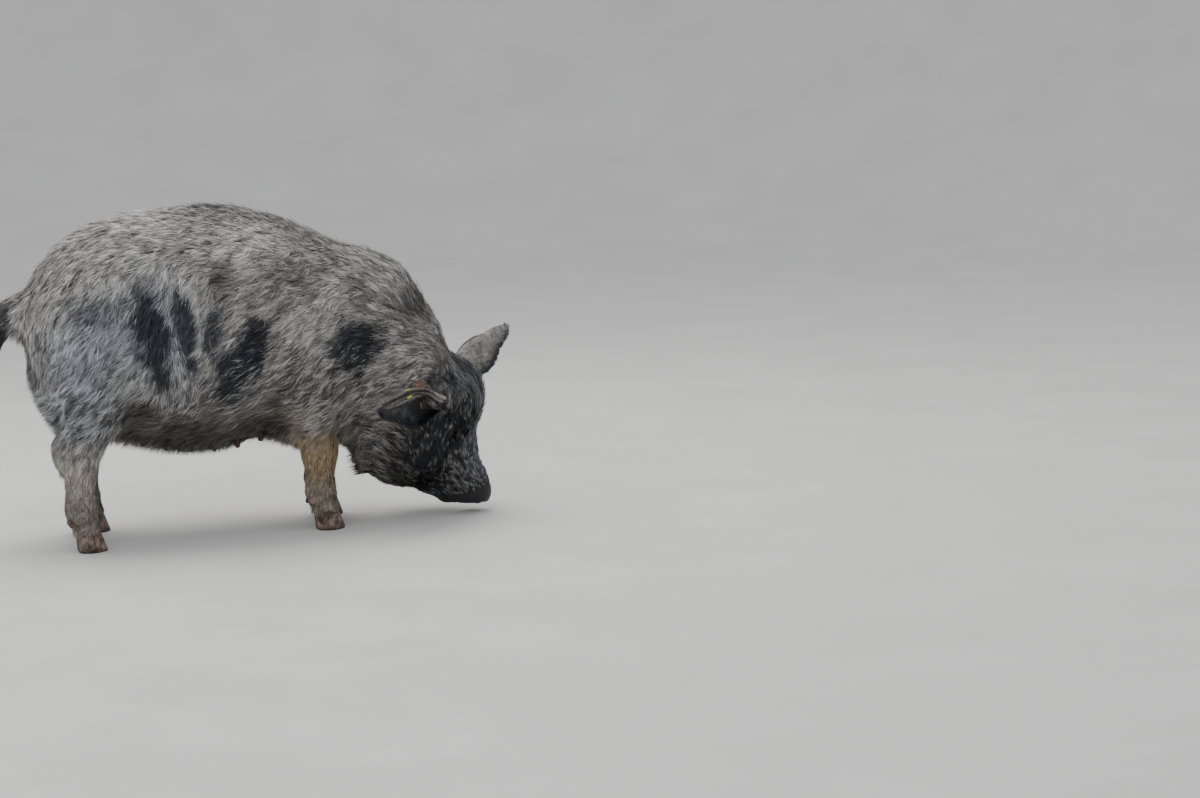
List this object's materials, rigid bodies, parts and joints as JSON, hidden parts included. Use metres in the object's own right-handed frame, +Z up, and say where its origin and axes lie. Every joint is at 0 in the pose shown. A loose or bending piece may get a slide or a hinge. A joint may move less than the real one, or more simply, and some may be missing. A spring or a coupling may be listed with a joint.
{
  "type": "kunekune pig",
  "caption": "Life-size kunekune sow standing with her head lowered and turned to one side, round body, bristly grizzled coat, short legs, folded ears and a thick tail",
  "frame": {"origin": "middle of the bounding box, on the floor", "axes": "+X toward the head, +Y to her left side, +Z up"},
  "size_m": [1.092, 0.4578, 0.661],
  "materials": {
    "coat": "grizzled taupe hair with silver tips and dark patches",
    "leg_hair": "short cream and tan hair",
    "face": "dark skin under short hair",
    "snout": "moist dark skin",
    "eye": "wet dark brown",
    "claw": "worn pinkish horn",
    "tag": "yellow green, plain"
  },
  "bodies": {
    "root": {"head": "face", "neck": "coat", "torso": "coat", "eye_right": "eye", "eye_left": "eye", "snout_disc": "snout", "foreleg_right": "leg_hair", "claw_foreleg_right_outer": "claw", "dewclaw_foreleg_right_outer": "claw", "claw_foreleg_right_inner": "claw", "dewclaw_foreleg_right_inner": "claw", "foreleg_left": "leg_hair", "claw_foreleg_left_outer": "claw", "dewclaw_foreleg_left_outer": "claw", "claw_foreleg_left_inner": "claw", "dewclaw_foreleg_left_inner": "claw", "hindleg_right": "leg_hair", "claw_hindleg_right_outer": "claw", "dewclaw_hindleg_right_outer": "claw", "claw_hindleg_right_inner": "claw", "dewclaw_hindleg_right_inner": "claw", "hindleg_left": "leg_hair", "claw_hindleg_left_outer": "claw", "dewclaw_hindleg_left_outer": "claw", "claw_hindleg_left_inner": "claw", "dewclaw_hindleg_left_inner": "claw", "tail": "coat", "ear_right": "coat", "ear_left": "coat", "ear_tag": "tag"}
  },
  "joints": []
}
